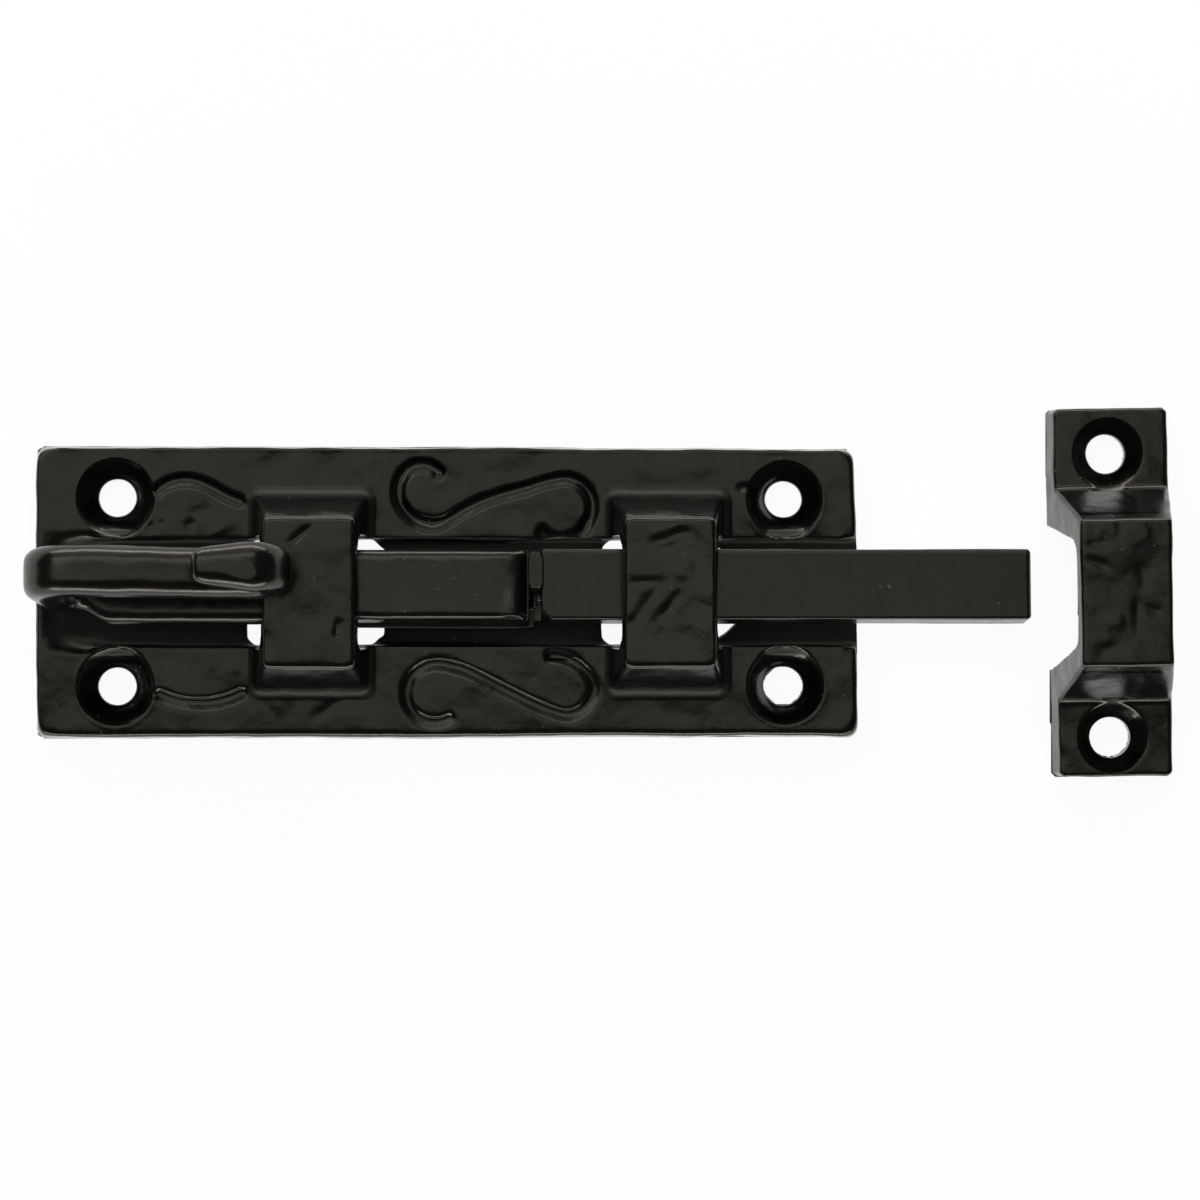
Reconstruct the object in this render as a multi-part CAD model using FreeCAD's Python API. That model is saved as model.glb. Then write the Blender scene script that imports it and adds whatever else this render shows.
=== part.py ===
import FreeCAD, Part

import math
import os

from FreeCAD import Rotation, Vector

# A straight surface bolt for a door or cupboard, in black painted iron: a
# cast backplate with two bridges, a bar that slides through them and ends in
# a curled tail, a bow spring under the bar, and a loose keep for the frame.
#
# Millimetres.  X runs along the bolt, towards the keep.  Y runs across it.
# Z stands out of the door.  The origin is the middle of the four backplate
# screws, on the face that lies against the door.
#
# The stack sets the heights: the plate, a running gap, the bar, a running gap,
# the roof of the bridges.  The bar sets the widths of all that it runs through.

# ---- backplate ------------------------------------------------------------
PLATE_LENGTH = 102.6
PLATE_WIDTH = 36.6
PLATE_THICK = 4.0
PLATE_CORNER_R = 1.4
PLATE_EDGE_R = 0.8
CASTING_DRAFT = 0.4          # how far each side of the plate leans in to its face

SCREW_FROM_TAIL = 10.25      # screw holes, from the ends and sides of the plate
SCREW_FROM_NOSE = 9.4
SCREW_FROM_SIDE = 6.6
SCREW_HOLE_D = 4.6
SCREW_HEAD_D = 9.6

CHANNEL_DEPTH = 2.2
CHANNEL_END = 5.0            # solid plate left beyond the channel at the tail
CHANNEL_END_R = 3.0

# ---- bridges, cast in one with the backplate --------------------------------
BRIDGE_FROM_TAIL = 34.3      # middle of each bridge, from that end of the plate
BRIDGE_FROM_NOSE = 24.2
BRIDGE_LENGTH = 11.4         # along the bolt, at the top
BRIDGE_SPREAD_X = 1.5        # how far each foot stands out beyond the top
BRIDGE_SPREAD_Y = 3.3
BRIDGE_WALL = 2.35           # metal beside the bar, at the top
BRIDGE_ROOF = 2.4            # metal over the bar
BRIDGE_CORNER_R = 1.0
BRIDGE_EDGE_R = 0.6
BRIDGE_ROOT_R = 1.2
BRIDGE_INNER_R = 2.0

WINDOW_LENGTH = 16.8         # slot through the plate under each bridge
WINDOW_FORWARD = 0.55        # how far its middle lies towards the nose
WINDOW_CLIP = 0.8            # clipped corners at its tail end
TAIL_WINDOW_CLIP = 1.4       # and at its nose end, under the tail bridge
NOSE_WINDOW_CLIP = 3.2       # and under the nose bridge

# ---- scrolls pressed into the face, each a line through a few points -------------
SCROLL_WIDTH = 1.9
SCROLL_DEPTH = 0.6
SCROLL_FIT = 0.2             # how closely its arcs keep to the line
SCROLLS = [
    [(-1.6, 14.7), (-4.0, 15.7), (-6.6, 13.9), (-6.3, 10.6), (-2.1, 8.4), (3.0, 10.8),
     (10.3, 13.2), (15.0, 14.0), (17.6, 10.6), (15.3, 7.4), (11.2, 7.6)],
    [(-0.3, -15.8), (-3.6, -15.7), (-5.5, -12.3), (-3.9, -9.6), (-0.4, -9.2), (5.0, -11.4),
     (11.2, -14.5), (15.2, -15.3), (17.7, -12.0), (15.4, -9.1), (12.3, -8.0)],
    [(-36.4, 12.5), (-32.0, 13.8), (-28.4, 12.2), (-26.3, 11.2)],
    [(-36.2, -12.7), (-30.0, -13.9), (-26.0, -12.6)],
]

# ---- bolt -------------------------------------------------------------------
BAR_WIDTH = 8.85
BAR_THICK = 5.0
BAR_EDGE_R = 0.4
BAR_REACH = 20.5             # how far it stands out of the plate when thrown
BAR_SIDE_GAP = 2.4           # to each side of the channel
BAR_ROOF_GAP = 0.3           # from its high corner to the roof of the bridges
BAR_PLATE_GAP = 0.28         # from its low corner to the face of the plate
BAR_END_CHAMFER = 1.2        # corner ground off at the joint
BOLT_TILT = 7.5              # degrees that the bolt lies over in its loose guides

WELD_FROM_BRIDGE = 27.7      # joint of bar and handle, from the tail bridge
WELD_LENGTH = 1.5
WELD_PROUD = 1.2             # the bead that stops the bolt at the tail bridge
WELD_BEAD_R = 0.9
WELD_BEAD_TIP_R = 0.3        # at each end, where it fades out
WELD_BEAD_LENGTH = 5.0
WELD_SUNK = 1.6              # how far the rest of the joint lies below the face
SHANK_RAMP = 3.4             # length that the hammer thinned at the shank's end
SHANK_RAMP_DROP = 0.45
SHANK_END_R = 1.1

# ---- curled tail --------------------------------------------------------------
TAIL_BEND_FROM_END = 6.9     # where it starts to turn up, from the plate's end
TAIL_BEND_R = 3.4
TAIL_RISE = 6.6
TAIL_LEAN = 6.0              # degrees that the rise leans outwards
CROOK_R = 4.2
BACK_SLOPE = 6.3             # degrees that the upper run falls towards the bridge
BACK_LENGTH = 19.7
CURL_R = 3.2
TIP_LENGTH = 6.7
TAIL_WIDTH = 5.7
TAIL_THICK = 4.7
CURL_WIDTH = 5.5
CURL_THICK = 4.2
TIP_WIDTH = 3.9
TIP_THICK = 2.4
TAIL_BEVEL = 1.0             # forged corners
TIP_BEVEL = 0.7
TIP_NOSE = 0.7               # bevel round the very end
TAIL_NECK = 2.6              # length over which the shank narrows to the tail

# ---- bow spring -----------------------------------------------------------------
SPRING_PROUD = 0.25          # how far it shows on each side of the bar
SPRING_THICK = 0.6
SPRING_REACH = 27.5          # from the joint to where it bears on the shank
SPRING_TURN_R = 3.5          # its turn up into the joint
SPRING_GAP = 0.25            # between its belly and the channel floor
SPRING_SEAT = 0.05           # between its tail end and the shank
SPRING_TANG_WIDTH = 5.0
SPRING_TANG_DEPTH = 1.4

# ---- keep -------------------------------------------------------------------------
KEEP_STANDOFF = 11.1         # its middle, from the nose of the thrown bar
KEEP_TURN = 1.0              # degrees that the loose keep lies out of square
KEEP_WIDTH = 15.4            # at its back, from which its sides lean in
KEEP_THICK = 3.8
KEEP_FOOT_LENGTH = 10.05
KEEP_ROOF = 2.4
KEEP_ROOF_WIDTH = 11.4
KEEP_BAR_GAP = 1.8           # from the bar's high corner to the keep's roof
KEEP_SIDE_GAP = 1.9          # from the bar to each side of the mouth, at its top
KEEP_MOUTH_SPREAD = 2.3      # how much wider its upper side is at the foot
KEEP_MOUTH_FLARE = 1.2       # and its lower side, more than that
KEEP_WALL = 2.65             # metal beside the mouth, at the top
KEEP_SPREAD = 4.1            # how far the upper foot of the rise stands out
KEEP_FLARE = 0.5             # and the lower one, more than that
KEEP_SCREW_FROM_END = 5.4
KEEP_SCREW_OFF = 0.3         # both screws, off the middle towards the bolt
KEEP_SCREW_LOW = 0.4         # and towards the lower foot
KEEP_SCREW_D = 4.8
KEEP_HEAD_D = 8.8
KEEP_EDGE_R = 0.6
KEEP_CORNER_CLIP = 0.6       # bevel of the corners of its feet
KEEP_INNER_R = 1.5

OVERLAP = 1.0                # how far a cutting tool runs past what it cuts

# ---- places worked out from the sizes ----------------------------------------------
PLATE_X = (SCREW_FROM_NOSE - SCREW_FROM_TAIL) / 2
TAIL_END_X = PLATE_X - PLATE_LENGTH / 2
NOSE_END_X = PLATE_X + PLATE_LENGTH / 2
SCREW_X = (PLATE_LENGTH - SCREW_FROM_TAIL - SCREW_FROM_NOSE) / 2
SCREW_Y = PLATE_WIDTH / 2 - SCREW_FROM_SIDE
BRIDGE_TAIL_X = TAIL_END_X + BRIDGE_FROM_TAIL
BRIDGE_NOSE_X = NOSE_END_X - BRIDGE_FROM_NOSE
WELD_X = BRIDGE_TAIL_X + WELD_FROM_BRIDGE
WELD_TAIL_X = WELD_X - WELD_LENGTH / 2
WELD_NOSE_X = WELD_X + WELD_LENGTH / 2
BAR_TIP_X = NOSE_END_X + BAR_REACH
NECK_X = TAIL_END_X + TAIL_BEND_FROM_END + TAIL_NECK
KEEP_X = BAR_TIP_X + KEEP_STANDOFF

CHANNEL_WIDTH = BAR_WIDTH + 2 * BAR_SIDE_GAP
CHANNEL_FLOOR = PLATE_THICK - CHANNEL_DEPTH
BRIDGE_WIDTH = CHANNEL_WIDTH + 2 * BRIDGE_WALL

# The bolt is built upright and then tilted about the middle of the channel
# floor, which lifts one long edge of the bar and drops the other.
TILT = math.radians(BOLT_TILT)
EDGE_LIFT = BAR_WIDTH / 2 * math.sin(TILT)
LOW_CORNER = CHANNEL_DEPTH + BAR_PLATE_GAP
BAR_FOOT = CHANNEL_FLOOR + (LOW_CORNER + EDGE_LIFT) / math.cos(TILT)
BAR_TOP = BAR_FOOT + BAR_THICK
BAR_MIDDLE = BAR_FOOT + BAR_THICK / 2
HIGH_CORNER = CHANNEL_FLOOR + (BAR_TOP - CHANNEL_FLOOR) * math.cos(TILT) + EDGE_LIFT
BRIDGE_INSIDE = HIGH_CORNER + BAR_ROOF_GAP
BRIDGE_TOP = BRIDGE_INSIDE + BRIDGE_ROOF
KEEP_INSIDE = HIGH_CORNER + KEEP_BAR_GAP
KEEP_TOP = KEEP_INSIDE + KEEP_ROOF


def prism(points, along):
    """A face through the points, swept along a vector."""
    face = Part.Face(Part.makePolygon(points + [points[0]]))
    return face.extrude(along)


def tapered_block(foot, top, z_foot, z_top, corner_r, centre_x):
    """A block that narrows from its foot (length, width) to its top, with round corners."""
    side = [
        Vector(-foot[0] / 2, -foot[1] / 2, z_foot),
        Vector(foot[0] / 2, -foot[1] / 2, z_foot),
        Vector(top[0] / 2, -foot[1] / 2, z_top),
        Vector(-top[0] / 2, -foot[1] / 2, z_top),
    ]
    front = [
        Vector(-foot[0] / 2, -foot[1] / 2, z_foot),
        Vector(-foot[0] / 2, foot[1] / 2, z_foot),
        Vector(-foot[0] / 2, top[1] / 2, z_top),
        Vector(-foot[0] / 2, -top[1] / 2, z_top),
    ]
    block = prism(side, Vector(0, foot[1], 0)).common(prism(front, Vector(foot[0], 0, 0)))
    corners = [edge for edge in block.Edges if near(edge.BoundBox.ZLength, z_top - z_foot)]
    block = block.makeFillet(corner_r, corners)
    block.translate(Vector(centre_x, 0, 0))
    return block


def edges_where(shape, test):
    """The edges of a shape whose points, ends and middle, all pass a test."""
    chosen = []
    for edge in shape.Edges:
        middle = edge.valueAt((edge.FirstParameter + edge.LastParameter) / 2)
        points = [vertex.Point for vertex in edge.Vertexes] + [middle]
        if all(test(point) for point in points):
            chosen.append(edge)
    return chosen


def near(value, target, slack=0.01):
    return abs(value - target) < slack


def countersink(x, y, face_z, hole_d, head_d):
    """The tool that bores one 90 degree countersunk screw hole."""
    depth = (head_d - hole_d) / 2
    bore = Part.makeCylinder(hole_d / 2, face_z + 2 * OVERLAP, Vector(x, y, -OVERLAP))
    cone = Part.makeCone(
        hole_d / 2, head_d / 2 + OVERLAP, depth + OVERLAP, Vector(x, y, face_z - depth)
    )
    return bore.fuse(cone)


# ---- backplate ------------------------------------------------------------


def plate_blank():
    foot = (PLATE_LENGTH, PLATE_WIDTH)
    top = (PLATE_LENGTH - 2 * CASTING_DRAFT, PLATE_WIDTH - 2 * CASTING_DRAFT)
    blank = tapered_block(foot, top, 0.0, PLATE_THICK, PLATE_CORNER_R, PLATE_X)
    rim = edges_where(blank, lambda p: near(p.z, PLATE_THICK))
    return blank.makeFillet(PLATE_EDGE_R, rim)


def bridge_blank(x):
    """One bridge, solid, its slopes run on down into the plate."""
    foot_z = PLATE_THICK - PLATE_EDGE_R
    run_on = (BRIDGE_TOP - foot_z) / (BRIDGE_TOP - PLATE_THICK)
    top = (BRIDGE_LENGTH, BRIDGE_WIDTH)
    foot = (top[0] + 2 * BRIDGE_SPREAD_X * run_on, top[1] + 2 * BRIDGE_SPREAD_Y * run_on)
    block = tapered_block(foot, top, foot_z, BRIDGE_TOP, BRIDGE_CORNER_R, x)
    rim = edges_where(block, lambda p: near(p.z, BRIDGE_TOP))
    return block.makeFillet(BRIDGE_EDGE_R, rim)


def channel_tool():
    """The groove along the plate and the way under both bridges, in one."""
    start = TAIL_END_X + CHANNEL_END
    end = NOSE_END_X + OVERLAP
    side = CHANNEL_WIDTH / 2
    corner = Vector(start, -side, CHANNEL_FLOOR)
    tool = Part.makeBox(end - start, CHANNEL_WIDTH, BRIDGE_INSIDE - CHANNEL_FLOOR, corner)
    roof_edges = edges_where(
        tool, lambda p: near(p.z, BRIDGE_INSIDE) and near(abs(p.y), side)
    )
    tool = tool.makeFillet(BRIDGE_INNER_R, roof_edges)
    end_edges = edges_where(
        tool, lambda p: near(p.x, start) and near(abs(p.y), side) and p.z < BRIDGE_INSIDE
    )
    return tool.makeFillet(CHANNEL_END_R, end_edges)


def window_tool(bridge_x, nose_clip):
    """The slot through the plate under one bridge, its corners clipped."""
    side = CHANNEL_WIDTH / 2
    middle = bridge_x + WINDOW_FORWARD
    tool = Part.makeBox(
        WINDOW_LENGTH,
        CHANNEL_WIDTH,
        CHANNEL_FLOOR + 2 * OVERLAP,
        Vector(middle - WINDOW_LENGTH / 2, -side, -OVERLAP),
    )
    for end, clip in ((1, nose_clip), (-1, WINDOW_CLIP)):
        x = middle + end * WINDOW_LENGTH / 2
        corners = edges_where(tool, lambda p: near(p.x, x) and near(abs(p.y), side))
        tool = tool.makeChamfer(clip, corners)
    return tool


def scroll_tool(points):
    """A V-shaped groove along a smooth line through the points, made of arcs."""
    line = Part.BSplineCurve()
    line.interpolate([Vector(x, y, PLATE_THICK) for x, y in points])
    up = Vector(0, 0, 1)
    rise = SCROLL_DEPTH / 2
    reach = SCROLL_WIDTH / 2 * (1 + rise / SCROLL_DEPTH)
    pieces = []
    for parameter in (line.FirstParameter, line.LastParameter):
        foot = line.value(parameter) - up * SCROLL_DEPTH
        pieces.append(Part.makeCone(0, reach, SCROLL_DEPTH + rise, foot))
    for arc in line.toBiArcs(SCROLL_FIT):
        start = arc.value(arc.FirstParameter)
        across = arc.tangent(arc.FirstParameter)[0].cross(up).normalize() * reach
        corners = [
            start + across + up * rise,
            start - across + up * rise,
            start - up * SCROLL_DEPTH,
        ]
        face = Part.Face(Part.makePolygon(corners + [corners[0]]))
        turn = math.degrees(arc.LastParameter - arc.FirstParameter)
        pieces.append(face.revolve(arc.Center, arc.Axis, turn))
    return pieces[0].multiFuse(pieces[1:])


def backplate():
    body = plate_blank()
    for x in (BRIDGE_TAIL_X, BRIDGE_NOSE_X):
        body = body.fuse(bridge_blank(x))
    body = body.removeSplitter()
    inside_rim = PLATE_LENGTH / 2 - CHANNEL_END
    roots = edges_where(
        body,
        lambda p: near(p.z, PLATE_THICK)
        and abs(p.y) < BRIDGE_WIDTH / 2 + BRIDGE_SPREAD_Y + 0.1
        and abs(p.x - PLATE_X) < inside_rim,
    )
    body = body.makeFillet(BRIDGE_ROOT_R, roots)
    body = body.cut(channel_tool())
    body = body.cut(window_tool(BRIDGE_TAIL_X, TAIL_WINDOW_CLIP))
    body = body.cut(window_tool(BRIDGE_NOSE_X, NOSE_WINDOW_CLIP))
    for points in SCROLLS:
        body = body.cut(scroll_tool(points))
    for x in (-SCREW_X, SCREW_X):
        for y in (-SCREW_Y, SCREW_Y):
            body = body.cut(countersink(x, y, PLATE_THICK, SCREW_HOLE_D, SCREW_HEAD_D))
    return body


# ---- the bolt ---------------------------------------------------------------


def tilted(shape):
    """Lay a piece of the bolt over, as it lies in its guides."""
    shape.rotate(Vector(0, 0, CHANNEL_FLOOR), Vector(1, 0, 0), -BOLT_TILT)
    return shape


def soften_rails(solid):
    """Round the edges that run the length of a flat piece of the bolt."""
    side = BAR_WIDTH / 2
    rails = [edge for edge in solid.Edges if near(abs(edge.CenterOfMass.y), side)]
    rails = [edge for edge in rails if edge.BoundBox.XLength > SHANK_RAMP + BAR_EDGE_R]
    return solid.makeFillet(BAR_EDGE_R, rails)


def bolt_bar():
    length = BAR_TIP_X - WELD_NOSE_X
    side = BAR_WIDTH / 2
    bar = Part.makeBox(length, BAR_WIDTH, BAR_THICK, Vector(WELD_NOSE_X, -side, BAR_FOOT))
    corner = edges_where(bar, lambda p: near(p.x, WELD_NOSE_X) and near(p.y, -side))
    bar = bar.makeChamfer(BAR_END_CHAMFER, corner)
    tip = edges_where(bar, lambda p: near(p.x, BAR_TIP_X))
    return tilted(soften_rails(bar.makeChamfer(BAR_EDGE_R, tip)))


def section(place, heading, width, thick, bevel):
    """A section of the tail, square to its path, its corners bevelled."""
    points = []
    for sx, sy in [(1, 1), (-1, 1), (-1, -1), (1, -1)]:
        on_edge = Vector(sx * (thick / 2 - bevel), sy * width / 2, 0)
        on_face = Vector(sx * thick / 2, sy * (width / 2 - bevel), 0)
        points += [on_face, on_edge] if sx == sy else [on_edge, on_face]
    wire = Part.makePolygon(points + [points[0]])
    turn = Rotation(Vector(0, 1, 0), 90 - math.degrees(heading))
    wire.Placement = FreeCAD.Placement(place, turn)
    return wire


def direction(heading):
    return Vector(math.cos(heading), 0, math.sin(heading))


def tail_run(place, heading, length, size, end_size):
    """A straight stretch, from one size of section to another."""
    end = place + direction(heading) * length
    ends = [section(place, heading, *size), section(end, heading, *end_size)]
    return Part.makeLoft(ends, True, True), end, heading


def tail_turn(place, heading, radius, turn, size):
    """A bend of one size of section; a positive turn is to the left."""
    side = math.copysign(math.pi / 2, turn)
    centre = place + direction(heading + side) * radius
    axis = Vector(0, -math.copysign(1, turn), 0)
    face = Part.Face(section(place, heading, *size))
    bend = face.revolve(centre, axis, math.degrees(abs(turn)))
    end = centre + direction(heading - side + turn) * radius
    return bend, end, heading + turn


def curl():
    """The tail beyond the flat shank, drawn narrower and curled back over it."""
    root = (BAR_WIDTH, BAR_THICK, BAR_EDGE_R)
    tail = (TAIL_WIDTH, TAIL_THICK, TAIL_BEVEL)
    back = (CURL_WIDTH, CURL_THICK, TAIL_BEVEL)
    tip = (TIP_WIDTH, TIP_THICK, TIP_BEVEL)
    nose = (TIP_WIDTH - TIP_NOSE, TIP_THICK - TIP_NOSE, TIP_BEVEL - TIP_NOSE / 2)
    rise_turn = math.pi / 2 - math.radians(TAIL_LEAN)
    crook_turn = math.pi / 2 + math.radians(TAIL_LEAN + BACK_SLOPE)
    steps = [
        (tail_run, TAIL_NECK, root, tail),
        (tail_turn, TAIL_BEND_R, -rise_turn, tail),
        (tail_run, TAIL_RISE, tail, tail),
        (tail_turn, CROOK_R, -crook_turn, tail),
        (tail_run, BACK_LENGTH, tail, back),
        (tail_turn, CURL_R, math.pi, back),
        (tail_run, TIP_LENGTH - TIP_NOSE, back, tip),
        (tail_run, TIP_NOSE, tip, nose),
    ]
    place = Vector(NECK_X, 0, BAR_MIDDLE)
    heading = math.pi
    pieces = []
    for make, *sizes in steps:
        piece, place, heading = make(place, heading, *sizes)
        pieces.append(piece)
    return pieces[0].multiFuse(pieces[1:])


def curl_handle():
    side = BAR_WIDTH / 2
    start = Vector(NECK_X, -side, BAR_FOOT)
    shank = Part.makeBox(WELD_TAIL_X - NECK_X, BAR_WIDTH, BAR_THICK, start)
    ramp = [
        Vector(WELD_TAIL_X - SHANK_RAMP, -side - OVERLAP, BAR_TOP),
        Vector(WELD_TAIL_X, -side - OVERLAP, BAR_TOP - SHANK_RAMP_DROP),
        Vector(WELD_TAIL_X, -side - OVERLAP, BAR_TOP + OVERLAP),
        Vector(WELD_TAIL_X - SHANK_RAMP, -side - OVERLAP, BAR_TOP + OVERLAP),
    ]
    shank = shank.cut(prism(ramp, Vector(0, BAR_WIDTH + 2 * OVERLAP, 0)))
    brow_z = BAR_TOP - SHANK_RAMP_DROP
    brow = edges_where(shank, lambda p: near(p.x, WELD_TAIL_X) and near(p.z, brow_z))
    shank = soften_rails(shank.makeFillet(SHANK_END_R, brow))
    return tilted(shank.fuse(curl()).removeSplitter())


def arc_about(centre, radius, start, end):
    """An arc in the XZ plane, from one angle to another."""
    points = [centre + direction(angle) * radius for angle in (start, (start + end) / 2, end)]
    return Part.Arc(*points).toShape()


def joining_line(before, after):
    """The straight edge from the end of one edge to the start of the next."""
    return Part.makeLine(before.lastVertex(True).Point, after.firstVertex(True).Point)


def friction_spring():
    """A strip bowed under the shank, its nose end turned up into the weld."""
    width = BAR_WIDTH + 2 * SPRING_PROUD
    half = SPRING_THICK / 2
    low_corner = SPRING_GAP + width / 2 * math.sin(TILT)
    middle_z = CHANNEL_FLOOR + low_corner / math.cos(TILT) + half
    belly_x = WELD_X - SPRING_TURN_R
    reach = SPRING_REACH - SPRING_TURN_R
    rise = BAR_FOOT - half - SPRING_SEAT - middle_z
    bow_r = (reach ** 2 + rise ** 2) / (2 * rise)
    bow_angle = math.asin(reach / bow_r)
    bow_centre = Vector(belly_x, 0, middle_z + bow_r)
    turn_centre = Vector(belly_x, 0, middle_z + SPRING_TURN_R)
    tang_rise = BAR_FOOT + SPRING_TANG_DEPTH - turn_centre.z
    down = -math.pi / 2
    outer_r = SPRING_TURN_R + half
    inner_r = SPRING_TURN_R - half
    lower_bow = arc_about(bow_centre, bow_r + half, down - bow_angle, down)
    lower_turn = arc_about(turn_centre, outer_r, down, math.asin(tang_rise / outer_r))
    upper_turn = arc_about(turn_centre, inner_r, math.asin(tang_rise / inner_r), down)
    upper_bow = arc_about(bow_centre, bow_r - half, down, down - bow_angle)
    tang_end = joining_line(lower_turn, upper_turn)
    tail_end = joining_line(upper_bow, lower_bow)
    outline = Part.Wire([lower_bow, lower_turn, tang_end, upper_turn, upper_bow, tail_end])
    strip = Part.Face(outline).extrude(Vector(0, width, 0))
    strip.translate(Vector(0, -width / 2, 0))
    shoulder = (width - SPRING_TANG_WIDTH) / 2
    for y in (-width / 2, SPRING_TANG_WIDTH / 2):
        corner = Vector(belly_x, y, BAR_FOOT - SPRING_SEAT)
        strip = strip.cut(Part.makeBox(2 * SPRING_TURN_R, shoulder, BAR_THICK, corner))
    return tilted(strip)


def stop_weld(neighbours):
    """The weld between handle and bar: sunk on one side, a proud bead on the other."""
    side = BAR_WIDTH / 2 - BAR_EDGE_R
    sunk = Vector(WELD_TAIL_X, -side, BAR_FOOT + BAR_EDGE_R)
    filling = Part.makeBox(WELD_LENGTH, 2 * side, BAR_THICK - BAR_EDGE_R - WELD_SUNK, sunk)
    rise = BAR_TOP + WELD_PROUD - WELD_BEAD_R
    start = side - WELD_BEAD_LENGTH
    block = Part.makeBox(
        WELD_LENGTH, WELD_BEAD_LENGTH, rise - BAR_MIDDLE, Vector(WELD_TAIL_X, start, BAR_MIDDLE)
    )
    across = Vector(0, 1, 0)
    near_end = Vector(WELD_X, start + WELD_BEAD_R, rise)
    far_end = Vector(WELD_X, side - WELD_BEAD_R, rise)
    bead = Part.makeCylinder(
        WELD_BEAD_R, WELD_BEAD_LENGTH - 2 * WELD_BEAD_R, near_end, across
    )
    for end, way in ((near_end, -across), (far_end, across)):
        bead = bead.fuse(Part.makeCone(WELD_BEAD_R, WELD_BEAD_TIP_R, WELD_BEAD_R, end, way))
    weld = tilted(filling.fuse(block).fuse(bead).removeSplitter())
    for shape in neighbours:
        weld = weld.cut(shape)
    return weld


# ---- keep ---------------------------------------------------------------------


def keep():
    """Two feet and a raised middle, cut out below for the bar's nose."""
    mouth_top = BAR_WIDTH / 2 + KEEP_SIDE_GAP
    upper_mouth = mouth_top + KEEP_MOUTH_SPREAD
    lower_mouth = -upper_mouth - KEEP_MOUTH_FLARE
    rise_top = mouth_top + KEEP_WALL
    upper_foot = rise_top + KEEP_SPREAD
    lower_foot = -upper_foot - KEEP_FLARE
    half_length = upper_foot + KEEP_FOOT_LENGTH
    half_width = KEEP_WIDTH / 2
    half_roof = KEEP_ROOF_WIDTH / 2
    side = [
        Vector(-half_width, -half_length, 0),
        Vector(-half_width, half_length, 0),
        Vector(-half_width, half_length, KEEP_THICK),
        Vector(-half_width, upper_foot, KEEP_THICK),
        Vector(-half_width, rise_top, KEEP_TOP),
        Vector(-half_width, -rise_top, KEEP_TOP),
        Vector(-half_width, lower_foot, KEEP_THICK),
        Vector(-half_width, -half_length, KEEP_THICK),
    ]
    front = [
        Vector(-half_width, -half_length, 0),
        Vector(half_width, -half_length, 0),
        Vector(half_roof, -half_length, KEEP_TOP),
        Vector(-half_roof, -half_length, KEEP_TOP),
    ]
    body = prism(side, Vector(2 * half_width, 0, 0)).common(
        prism(front, Vector(0, 2 * half_length, 0))
    )
    ends = edges_where(body, lambda p: near(abs(p.y), half_length))
    corners = [edge for edge in ends if near(edge.BoundBox.ZLength, KEEP_THICK, 0.1)]
    body = body.makeChamfer(KEEP_CORNER_CLIP, corners)
    body = body.makeFillet(KEEP_EDGE_R, edges_where(body, lambda p: p.z > 0.01))
    start = -half_width - OVERLAP
    mouth = [
        Vector(start, lower_mouth, -OVERLAP),
        Vector(start, upper_mouth, -OVERLAP),
        Vector(start, mouth_top, KEEP_INSIDE),
        Vector(start, -mouth_top, KEEP_INSIDE),
    ]
    tool = prism(mouth, Vector(2 * half_width + 2 * OVERLAP, 0, 0))
    roof_edges = edges_where(
        tool, lambda p: near(p.z, KEEP_INSIDE) and near(abs(p.y), mouth_top)
    )
    body = body.cut(tool.makeFillet(KEEP_INNER_R, roof_edges))
    for sign in (-1, 1):
        y = sign * (half_length - KEEP_SCREW_FROM_END) - KEEP_SCREW_LOW
        hole = countersink(-KEEP_SCREW_OFF, y, KEEP_THICK, KEEP_SCREW_D, KEEP_HEAD_D)
        body = body.cut(hole)
    body.rotate(Vector(0, 0, 0), Vector(0, 0, 1), KEEP_TURN)
    body.translate(Vector(KEEP_X, 0, 0))
    return body


handle = curl_handle()
bar = bolt_bar()
spring = friction_spring()

parts = {
    "backplate": backplate(),
    "bolt_bar": bar,
    "curl_handle": handle,
    "stop_weld": stop_weld([handle, bar, spring]),
    "friction_spring": spring,
    "keep": keep(),
}

os.makedirs("parts", exist_ok=True)
for name, shape in parts.items():
    solid = shape.Solids[0]
    print(name, len(shape.Solids), solid.isValid(), round(solid.Volume, 1), solid.BoundBox)
    solid.exportStep(os.path.join("parts", name + ".step"))
print("top of the bridges", round(BRIDGE_TOP, 3), "top of the keep", round(KEEP_TOP, 3))
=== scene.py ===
import itertools
import math

import bmesh
import bpy
import numpy as np
from mathutils import Matrix, Vector


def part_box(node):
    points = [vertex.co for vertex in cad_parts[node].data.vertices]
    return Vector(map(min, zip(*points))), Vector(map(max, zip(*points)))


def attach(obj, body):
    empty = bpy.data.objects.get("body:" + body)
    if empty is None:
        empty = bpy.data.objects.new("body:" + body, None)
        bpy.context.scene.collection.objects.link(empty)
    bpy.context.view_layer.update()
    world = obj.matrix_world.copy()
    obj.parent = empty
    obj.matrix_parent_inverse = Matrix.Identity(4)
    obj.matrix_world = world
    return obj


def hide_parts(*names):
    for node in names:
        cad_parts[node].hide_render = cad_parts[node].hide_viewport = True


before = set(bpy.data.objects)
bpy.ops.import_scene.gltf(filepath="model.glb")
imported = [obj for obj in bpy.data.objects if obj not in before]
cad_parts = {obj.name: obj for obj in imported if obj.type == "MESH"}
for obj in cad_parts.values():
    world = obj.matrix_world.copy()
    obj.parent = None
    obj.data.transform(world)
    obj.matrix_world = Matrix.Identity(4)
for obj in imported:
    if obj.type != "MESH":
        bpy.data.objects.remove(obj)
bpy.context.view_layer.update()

scene = bpy.context.scene

# ---- sizes, in millimetres ------------------------------------------------------------
# Most pairs say where a change starts and where it is complete. Near is -Y, far is +Y.

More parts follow.
